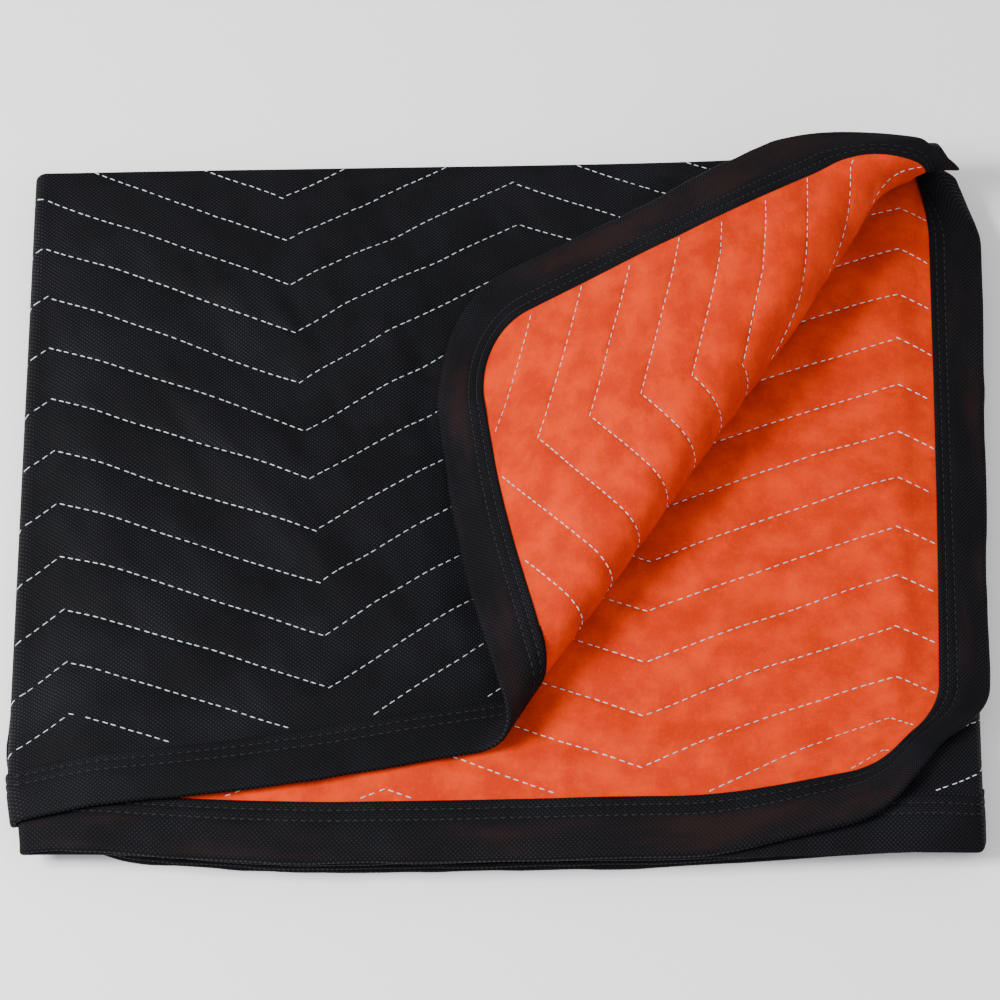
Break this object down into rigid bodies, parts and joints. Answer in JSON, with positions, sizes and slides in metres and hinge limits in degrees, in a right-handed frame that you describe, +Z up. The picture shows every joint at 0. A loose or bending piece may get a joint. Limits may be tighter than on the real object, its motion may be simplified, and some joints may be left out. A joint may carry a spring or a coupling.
{
  "type": "moving pad",
  "caption": "Quilted moving pad folded flat, black outside and orange inside, bound in black, with one top corner turned back.",
  "frame": {"origin": "centre of the folded pad's footprint, on the surface it lies on", "axes": "+X along the long side towards the turned-back corner, +Y towards the back fold, +Z up"},
  "size_m": [0.6279, 0.5232, 0.0804],
  "materials": {
    "black_nonwoven": "matte embossed nonwoven",
    "orange_nonwoven": "soft matte nonwoven",
    "black_binding": "matte embossed nonwoven tape"
  },
  "bodies": {
    "root": {"black_face": "black_nonwoven", "orange_face": "orange_nonwoven", "edge_binding": "black_binding"}
  },
  "joints": []
}
